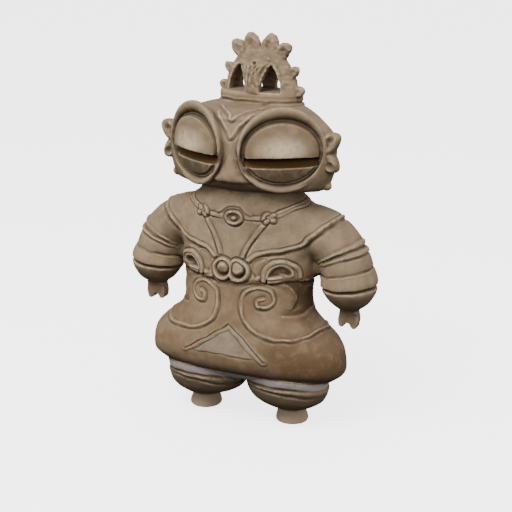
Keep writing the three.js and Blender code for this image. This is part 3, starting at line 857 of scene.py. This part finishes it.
# The rings of the arms and legs
# A groove is cut on each side of every raised ring with a wet stick, while the wheel of the
# hand turns the limb.
ring_groove = [(-0.55, 0), (-0.2, -0.26), (0.2, -0.26), (0.55, 0)]
about = np.linspace(0, 2 * np.pi, 41)
outer_side = np.linspace(-0.9, np.pi + 0.9, 41)
for share, depth, turn in [
    (0.443, 0.6, outer_side), (0.481, 1.0, outer_side), (0.522, 0.6, outer_side),
    (0.637, 0.9, about), (0.76, 1.5, about),
]:
    loop = np.stack(arm_place(turn, np.full(41, share_at(arm_stations, share)), 1.0), 1)
    both(loop, [(place, amount * depth) for place, amount in ring_groove], halo=0.6 * depth)
wrist_turn = about[::-1]
wrist_x, wrist_y = 27.1 + 2.6 * np.sin(wrist_turn), -0.3 + 1.9 * np.cos(wrist_turn)
wrist = np.stack([wrist_x, wrist_y, np.full(41, 32.5)], 1)
both(wrist, [(-0.5, 0.1), (-0.2, 0.14), (0.1, -0.2), (0.5, 0)], halo=0.7)
for height, depth in [(9.05, 1.1), (10.4, 1.1)]:
    loop = np.stack(leg_place(about, np.full(41, share_at(leg_stations, height)), 1.0), 1)
    both(loop, [(place, amount * depth) for place, amount in ring_groove], halo=0.7 * depth)

# The brow
# Two lines meet in a point over the nose: a ridge that frames the forehead, and below it the
# deep crease between the goggles, which runs up and out along their rims.
brow_ridge = [
    (-0.9, 0), (-0.55, -0.16), (-0.25, -0.1), (0.0, 0.14), (0.3, 0.2), (0.6, -0.08), (1.0, 0),
]
crease = [(-1.0, 0), (-0.5, -0.26), (-0.1, -0.1), (0.2, 0.14), (0.5, 0.2), (0.85, -0.06), (1.3, 0)]
brow_line = [
    (-8.0, -0.9, 80.9), (-4.7, -5.4, 80.9), (-1.4, -9.4, 80.4), (0, -10.9, 79.0),
    (1.4, -9.4, 80.4), (3.0, -6.4, 80.8), (4.8, -1.0, 80.9),
]
crease_line = [
    (-6.2, -6.2, 80.9), (-4.1, -9.4, 79.9), (-2.4, -11.0, 78.0), (-1.0, -11.8, 76.3),
    (0, -12.0, 74.9), (1.0, -11.8, 76.3), (2.4, -11.0, 78.0), (4.1, -9.4, 79.9), (6.2, -6.2, 80.9),
]
both(brow_line, brow_ridge, halo=0.7, sides=slipped, fade=2.0)
both(crease_line, crease, halo=0.8, sides=slipped, fade=3.0)
nose_fold = [
    (0.9, -12, 72.8), (1.4, -12.3, 70.8), (2.6, -12.5, 68.4), (4.2, -12.6, 66.2), (5.8, -12.4, 64.6),
]
lay(nose_fold, [
    (-0.9, 0), (-0.35, 0.12), (0.0, 0.06), (0.4, -0.35), (0.9, -0.25), (1.7, 0),
], fade=3.0)
# Painted shade in the channel between the nose and each goggle's rim.
lay(nose_fold, [(-0.2, 0), (0.3, 0.9), (1.3, 0.8), (2.4, 0)], painted_shade, fade=2.0)
inner_rim = [
    eye_middle + eye_out * -0.3 + eye_side * 11.0 * np.cos(a) + np.array([0, 0, 10.3 * np.sin(a)])
    for a in np.radians(np.linspace(150, 245, 14))
]
even_sides = np.stack([np.abs(slipped[:, 0]), slipped[:, 1], slipped[:, 2]], 1)
rim_line = [(-0.7, 0), (-0.3, -0.12), (0.1, -0.16), (0.5, 0)]
both(inner_rim, rim_line, halo=0.9, sides=even_sides, fade=2.0)
ear_dent = [(0, -0.3), (0.5, -0.24), (1.1, 0.1), (1.5, 0)]
ear_shade = [(0, 0.9), (0.6, 0.7), (1.3, 0)]
for x, y, z, lean in [(22.0, -3.4, 74.6, 0.95), (21.9, -3.1, 68.3, 2.3)]:
    dab((x, y, z), ear_dent, 1.3, lean, keeps=1, sides=even_sides)
    # Painted shade in each ear's dent.
    dab((x, y, z), ear_shade, 1.3, lean, layer=painted_shade, sides=even_sides)

# The crown's carving
# The front pillar is two cords that cross under a small pierced dot, a roll runs over each
# window, and the ring has a groove above its foot.
def on_wall(x, z):
    """The place on the crown's front wall that lies nearest to this x and z."""
    return tuple(skin_tree.find_nearest(Vector((x, crown_middle - 6 + 0.05 * x * x, z)))[0])


cord = [(-0.9, 0), (-0.5, -0.18), (-0.15, 0.16), (0.15, 0.2), (0.5, -0.18), (0.9, 0)]
first_cord = [(-2.7, 91.4), (-2.0, 89.8), (-2.5, 88.0), (-2.0, 86.4), (-2.5, 84.9)]
second_cord = [(1.0, 91.2), (0.2, 89.8), (-0.9, 88.3), (-1.0, 86.6), (-0.4, 85.3)]
one_side = {"sides": slipped, "halo": 0.6, "fade": 1.0}
both([on_wall(x, z) for x, z in first_cord], cord, **one_side)
both([on_wall(x, z) for x, z in second_cord], cord, **one_side)
for _ in range(18):
    x, z = chance.uniform(-3.2, 1.4), chance.uniform(85.5, 91.5)
    lean, length = chance.uniform(-0.5, 0.6), chance.uniform(0.7, 1.8)
    stroke = [on_wall(x, z), on_wall(x + lean * 0.5, z - length / 2), on_wall(x + lean, z - length)]
    dent = [(-0.6, 0.06), (-0.3, 0.06), (0.0, -0.2), (0.35, 0.05), (0.65, 0)]
    lay(stroke, dent, keeps=0.6, sides=slipped, fade=0.4)
    # Painted shade in each dent.
    lay(stroke, [(-0.5, 0), (0.0, 0.7), (0.5, 0)], painted_shade, keeps=0.6, sides=slipped, fade=0.4)
window_roll = [(3.4, 91.9), (5.0, 91.5), (6.2, 90.2), (7.0, 88.4), (7.6, 86.4)]
roll = [(-0.7, 0), (-0.35, 0.15), (0.0, 0.22), (0.35, 0.1), (0.7, -0.14), (1.1, 0)]
for side in (1, -1):
    along_roll = [on_wall(side * x - 0.7, z) for x, z in window_roll]
    side_roll = [(place * side, amount) for place, amount in roll]
    both(along_roll[::side], side_roll[::side], **one_side)
dab(on_wall(-0.7, 92.2), [(0, -0.5), (0.3, -0.4), (0.6, 0.1), (0.9, 0)], 1.2, sides=slipped)
# Painted shade in the pierced dot.
dab(on_wall(-0.7, 92.2), [(0, 1), (0.3, 0.9), (0.55, 0)], 1.2, layer=painted_shade, sides=slipped)
# Painted shade about each lug.
for x, z, half_width, *_ in lug_sizes:
    shade_section = [(0, 0.7), (half_width * 0.4, 0.6), (half_width, 0)]
    dab(on_wall(x, z), shade_section, 1.2, layer=painted_shade, sides=slipped)
    dab(on_wall(-x, z), shade_section, 1.2, layer=painted_shade, sides=slipped)
turn_around = np.linspace(0, 2 * np.pi, 49)
for height, depth in [(81.55, 1.1), (82.4, 0.5)]:
    half_width, half_depth = sizes_at(ring_stations, np.array([height]))[:, 0]
    x, y = oval(turn_around, half_width, half_depth, half_depth, 2.2, 2.2)
    loop = np.stack([x, y + crown_middle, np.full(49, height)], 1)
    groove = [(place, amount * depth) for place, amount in ring_groove]
    both(loop, groove, halo=0.7 * depth, sides=slipped)

# The hand-worked skin
# The bands are sunk or raised into the clay, with the slight swells of work done by hand.
# How far each place lies in a groove, a broad hollow or on an edge, which way it faces, and
# the painted shade laid along the bands are kept, for the colour to follow.
rise *= 1 + 0.25 * swell(4)
worked_by_thumb = np.clip((skin[:, 2] - 84) / 2, 0, 1)
rise = blended(rise, 2) + 0.06 * swell(9) + 0.025 * swell(2.6)
rise += worked_by_thumb * (0.07 * swell(2.2) + 0.05 * swell(1.1))
skin = skin + outward * rise[:, None]
skin[:, 2] = np.maximum(skin[:, 2], 0.002)
figure.data.vertices.foreach_set("co", skin.astype(np.float32).ravel())


def kept(name, values):
    """Keeps one value for each point of the skin, which the clay's colours read by name."""
    layer = figure.data.attributes.new(name, "FLOAT", "POINT")
    layer.data.foreach_set("value", values.astype(np.float32))


fine_bend = ((blended_points(skin, 14) - skin) * outward).sum(1)
broad_bend = ((blended_points(skin, 70) - skin) * outward).sum(1)
kept("groove", np.clip(fine_bend / 0.08, -1, 1))
# Painted shade in broad hollows is read from this.
kept("hollow_shade", np.clip(broad_bend / 0.35, -1, 1))
kept("tilt", outward[:, 2])
kept("painted_shade", np.clip(blended(painted_shade, 2), 0, 1))
in_apron = (apron_top - skin[:, 2]) / apron_height * apron_half_width - np.abs(skin[:, 0])
in_apron = np.clip(in_apron, 0, 1) * np.clip((skin[:, 2] - apron_foot) / 0.3 + 0.5, 0, 1)
kept("apron", in_apron * (skin[:, 1] < 0))
apply_modifier(figure, "TRIANGULATE")
most_triangles = 194000
apply_modifier(figure, "DECIMATE", ratio=most_triangles / len(figure.data.polygons))
figure.data.transform(Matrix.Diagonal((part, part, part, 1)))
figure.data.transform(Matrix.Translation((0, set_back, 0)))
bpy.ops.object.shade_smooth()

# The fired clay
# A tan, low-fired clay that is mottled rose and grey, browner about the waist and skirt,
# with pale wear along its edges. Its colour also carries painted shade in grooves, hollows,
# undersides, upward faces, the lids and the figure's left side, a painted shadow in the slit
# and under the hem, and painted light on the feet and across the upper lids.
clay = bpy.data.materials.new("fired_clay")
clay.use_nodes = True


class Reading:
    """A number that varies over the clay. Arithmetic on readings adds the Math nodes it needs."""

    def __init__(self, socket):
        self.socket = socket

    def __add__(self, other):
        return arithmetic("ADD", self, other)

    def __sub__(self, other):
        return arithmetic("SUBTRACT", self, other)

    def __rsub__(self, other):
        return arithmetic("SUBTRACT", other, self)

    def __mul__(self, other):
        return arithmetic("MULTIPLY", self, other)

    def __truediv__(self, other):
        return arithmetic("DIVIDE", self, other)

    __radd__ = __add__
    __rmul__ = __mul__


def add_node(kind, settings, values, output=0):
    """Adds a node: its settings first, then a value or a link for each named socket."""
    made = clay.node_tree.nodes.new(kind)
    for name, setting in settings.items():
        setattr(made, name, setting)
    for name, value in values.items():
        if isinstance(value, Reading):
            clay.node_tree.links.new(value.socket, made.inputs[name])
        else:
            made.inputs[name].default_value = value
    return Reading(made.outputs[output])


def arithmetic(operation, first, second):
    return add_node("ShaderNodeMath", {"operation": operation}, {0: first, 1: second})


def held(value):
    """The value kept between 0 and 1."""
    return add_node("ShaderNodeClamp", {}, {"Value": value})


def kept_value(name):
    """One of the values kept for each point of the skin."""
    return add_node("ShaderNodeAttribute", {"attribute_name": name}, {}, "Fac")


def earth(red, green, blue):
    """A colour given as it looks, from 0 to 255, in the linear light that the shader takes."""
    shares = np.array([red, green, blue]) / 255
    return (*np.where(shares < 0.04045, shares / 12.92, ((shares + 0.055) / 1.055) ** 2.4), 1)


def tinted(base, colour, share):
    """The base colour turned towards another colour by a share from 0 to 1."""
    return add_node("ShaderNodeMix", {"data_type": "RGBA"}, {0: share, 6: base, 7: colour}, 2)


object_place = add_node("ShaderNodeTexCoord", {}, {}, "Object")


def mottle(grain_size, detail=4, roughness=0.55, offset=0.0):
    """Uneven patches about as wide as the grain size in metres, from 0 to 1."""
    move = (offset, offset, offset)
    moved = add_node("ShaderNodeVectorMath", {"operation": "ADD"}, {0: object_place, 1: move})
    return add_node("ShaderNodeTexNoise", {}, {
        "Vector": moved, "Scale": 1 / grain_size, "Detail": detail, "Roughness": roughness,
    })


def from_to(value, low, high):
    """How far the value has come from low to high, from 0 to 1."""
    return held((value - low) / (high - low))


clay_side, clay_depth, clay_height = [
    add_node("ShaderNodeSeparateXYZ", {}, {0: object_place}, axis) / part for axis in range(3)
]
patches = mottle(0.035)
rosy_patches = mottle(0.02, offset=3.0)
speckle = mottle(0.0035, detail=5, roughness=0.7, offset=7.0)
flecks = mottle(0.012, detail=4, roughness=0.6, offset=5.0)
pits = mottle(0.0014, detail=3, roughness=0.6, offset=11.0)


# The goggles' tones, with their painted shade, painted highlight and the slit's painted
# shadow, are found from the place of each point within its goggle.
from_eye_x = arithmetic("ABSOLUTE", clay_side, 0) - eye_middle[0]
from_eye_y = clay_depth - (set_back / part + eye_middle[1])
eye_height = clay_height - eye_middle[2]
eye_along = from_eye_x * eye_side[0] + from_eye_y * eye_side[1]
eye_depth = from_eye_x * eye_out[0] + from_eye_y * eye_out[1]
eye_along_squared = eye_along * eye_along
lid_span = eye_along_squared / 9.35 ** 2 + (eye_height + 0.5) * (eye_height + 0.5) / 7.6 ** 2
in_goggle = from_to(eye_depth, -1.6, -1.2)
in_rim = in_goggle * from_to(lid_span, 1.0, 0.92)
slit_half = (slit_top - slit_bottom) / 2
narrowed = slit_half * slit_narrowing / slit_length ** 2 * eye_along_squared
slit_share = (eye_height - slit_middle) / (slit_half - narrowed)
upper_lid = in_rim * from_to(slit_share, 1.0, 1.1)
lower_lid = in_rim * from_to(slit_share, -0.95, -1.05)
lower_lid_edge = lower_lid * from_to(slit_share, -1.35, -1.15)
in_slit = in_rim * from_to(slit_share, 1.12, 1.0) * from_to(slit_share, -1.1, -0.98)
# A painted highlight across the middle of each upper lid, where the lid is also left smoother.
burnish_and_highlight = held(1 - eye_along_squared / 75 - (eye_height - 0.2) * (eye_height - 0.2) / 22)
burnish_and_highlight = burnish_and_highlight * burnish_and_highlight * upper_lid
rim_shade = in_goggle * from_to(lid_span, 0.84, 0.94) * from_to(lid_span, 1.24, 1.1)
rim_shade = rim_shade * from_to(eye_height, -9, 5)
on_rim = in_goggle * from_to(lid_span, 0.98, 1.1) * from_to(lid_span, 2.1, 1.9)

on_arm = from_to(from_eye_x, 7.4, 8.6) * from_to(clay_height, 26.6, 27.4)
about_skirt = from_to(clay_height, 43, 38) * from_to(clay_height, 11, 16) * (1 - on_arm)
# Painted shade: the figure's left side, away from the key light, and the low skirt on that side are
# browner and darker.
left_side_shade = from_to(clay_side, 9, 18) * 0.8
left_side_shade = left_side_shade + from_to(clay_side, 1, 12) * from_to(clay_height, 27, 22) * 0.6
# Browning in patches, with the painted side shade added.
browning_and_side_shade = from_to(patches + rosy_patches, 0.8, 1.2) * 0.3 + left_side_shade
fold_shade = from_to(clay_side, 13.8, 15.4) * from_to(clay_height, 30.5, 32)
fold_shade = fold_shade * from_to(clay_height, 40.5, 38)
ahead = arithmetic("MAXIMUM", (set_back / part - 1.8) - clay_depth, 0)
ring_height = clay_height - ahead * ahead * leg_lift
slip_band = from_to(ring_height, 10.6, 10.9) * from_to(ring_height + speckle, 13.2, 12.9)
slip_left = from_to(rosy_patches + speckle * 0.5, 0.5, 0.62)
# A painted shadow in a band under the hem.
hem_shadow = from_to(ring_height, 11.8, 12.6) * from_to(ring_height, 15.4, 13.6)
# Painted shade on the leg bowls.
bowl = from_to(ring_height, 10.3, 9.0) * from_to(clay_height, 3.6, 4.4)
off_the_foot = from_to(clay_height, 3.6, 5)
# Painted shade on faces that point down, weaker on the goggle rims and none on the feet.
underside_shade = from_to(kept_value("tilt"), -0.05, -0.7) * off_the_foot * (0.85 - 0.75 * on_rim)
rubbed_edge = from_to(kept_value("groove"), -0.2, -0.9) * from_to(speckle, 0.35, 0.55)

# Each colour lies over those before it, where its share is above 0.
tone = tinted(earth(150, 129, 102), earth(134, 115, 89), from_to(patches, 0.4, 0.62))
for colour, share in [
    ((153, 126, 106), from_to(rosy_patches, 0.5, 0.7) * 0.6),
    ((144, 114, 82), about_skirt * 0.4),
    # Browning in patches, and painted shade on the figure's left side.
    ((96, 69, 40), about_skirt * held(browning_and_side_shade) * 0.78),
    ((82, 58, 34), about_skirt * fold_shade * 0.6),
    ((160, 145, 124), kept_value("apron") * 0.7),
    # Painted shade over each upper lid.
    ((116, 96, 72), upper_lid * 0.8),
    # A painted highlight across the middle of each upper lid.
    ((230, 206, 172), burnish_and_highlight * 0.9),
    # Painted shade on each lower lid.
    ((80, 65, 48), lower_lid * 0.88),
    ((196, 176, 148), lower_lid_edge * 0.5),
    ((108, 88, 62), from_to(speckle, 0.52, 0.75) * 0.45),
    ((174, 152, 124), from_to(flecks, 0.5, 0.3) * 0.3),
    ((108, 88, 64), from_to(flecks, 0.5, 0.7) * 0.4),
    # Painted shade on the leg bowls under their rims.
    ((100, 86, 68), bowl * 0.8),
    # Painted light on the feet, against the shade of the bowls above them.
    ((186, 165, 136), from_to(clay_height, 3.9, 3.3) * 0.8),
    # Painted shade in broad hollows.
    ((82, 66, 45), from_to(kept_value("hollow_shade"), 0.1, 0.9) * off_the_foot * 0.6),
    # Painted shade on faces that point down.
    ((100, 84, 64), underside_shade),
    # A painted shadow under the hem.
    ((72, 57, 40), hem_shadow * 0.3),
    ((196, 186, 184), slip_band * slip_left * 0.85),
    # Painted shade on faces that point up.
    ((96, 79, 59), from_to(kept_value("tilt"), 0.25, 0.95) * 0.62),
    ((200, 182, 154), rubbed_edge * 0.6),
    # Painted shade laid beside the bands, in dents and under lumps.
    ((76, 58, 37), kept_value("painted_shade") * from_to(speckle, 0.8, 0.3) * 0.9),
    ((58, 45, 29), rim_shade * 0.8),
    # Painted shade in every groove.
    ((60, 46, 30), from_to(kept_value("groove"), 0.2, 1.0) * 0.65),
]:
    tone = tinted(tone, earth(*colour), share)
# The slit is brown, darkened to near black at its top by a painted shadow under the upper lid.
slit_colour_and_shadow = tinted(earth(92, 62, 16), earth(16, 9, 3), from_to(slit_share, -0.1, 0.5))
tone = tinted(tone, slit_colour_and_shadow, in_slit)

clay_links = clay.node_tree.links
clay_shader = clay.node_tree.nodes["Principled BSDF"]
clay_links.new(tone.socket, clay_shader.inputs["Base Color"])
gloss = held(0.78 - 0.18 * burnish_and_highlight + 0.12 * (speckle - 0.5))
clay_links.new(gloss.socket, clay_shader.inputs["Roughness"])
roughness_of_skin = add_node("ShaderNodeBump", {}, {
    "Strength": 0.35, "Distance": 0.0006, "Height": speckle * 0.7 + pits * 0.3,
})
clay_links.new(roughness_of_skin.socket, clay_shader.inputs["Normal"])
clay_shader.inputs["Specular IOR Level"].default_value = 0.35
figure.data.materials.clear()
figure.data.materials.append(clay)
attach(figure, "root")
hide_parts("dogu_figure")

# The studio
# A plain pale floor, a broad soft light above and in front, a weaker one at the figure's left,
# a sky that is dimmer below, and a camera at the height and turn of the figure's photo.
bpy.ops.object.select_all(action="DESELECT")
bpy.ops.mesh.primitive_plane_add(size=30)
floor = bpy.context.object
floor.name = "floor"
pale = bpy.data.materials.new("pale floor")
pale.use_nodes = True
pale_inputs = pale.node_tree.nodes["Principled BSDF"].inputs
pale_inputs["Base Color"].default_value = (0.9, 0.9, 0.9, 1)
pale_inputs["Roughness"].default_value = 0.9
pale_inputs["Emission Color"].default_value = (1, 1, 1, 1)
pale_inputs["Emission Strength"].default_value = 3.0
floor.data.materials.append(pale)
floor.visible_diffuse = False
floor.visible_glossy = False

look_at = Vector((0, 0.0114 + set_back, 0.1404))


def around(turn, rise, distance):
    """A place seen from the figure at a turn to its left and a rise, in degrees."""
    turn, rise = np.radians(turn), np.radians(rise)
    level = np.cos(rise)
    return look_at + distance * Vector((np.sin(turn) * level, -np.cos(turn) * level, np.sin(rise)))


def soft_light(name, turn, rise, distance, size, watts):
    bpy.ops.object.light_add(type="AREA", location=around(turn, rise, distance))
    light = bpy.context.object
    light.name = name
    light.data.shape = "DISK"
    light.data.size = size
    light.data.energy = watts
    light.rotation_euler = (look_at - light.location).to_track_quat("-Z", "Y").to_euler()


soft_light("key light", -14, 58, 1.3, 0.8, 20)
soft_light("side light", 80, 30, 1.4, 0.9, 2)
world = bpy.data.worlds.new("studio")
bpy.context.scene.world = world
world.use_nodes = True
world_nodes, world_links = world.node_tree.nodes, world.node_tree.links
sky_place = world_nodes.new("ShaderNodeTexCoord")
sky_height = world_nodes.new("ShaderNodeSeparateXYZ")
sky = world_nodes.new("ShaderNodeMapRange")
for name, value in {"From Min": -0.15, "From Max": 0.3, "To Min": 0.06, "To Max": 1.0}.items():
    sky.inputs[name].default_value = value
world_links.new(sky_place.outputs["Generated"], sky_height.inputs[0])
world_links.new(sky_height.outputs[2], sky.inputs["Value"])
world_links.new(sky.outputs[0], world_nodes["Background"].inputs["Strength"])
world_nodes["Background"].inputs["Color"].default_value = (1, 1, 1, 1)

bpy.ops.object.camera_add(location=around(24, 17.85, 0.9756))
camera = bpy.context.object
camera.rotation_euler = (look_at - camera.location).to_track_quat("-Z", "Y").to_euler()
camera.data.lens = 78.1
camera.data.clip_end = 100
bpy.context.scene.camera = camera
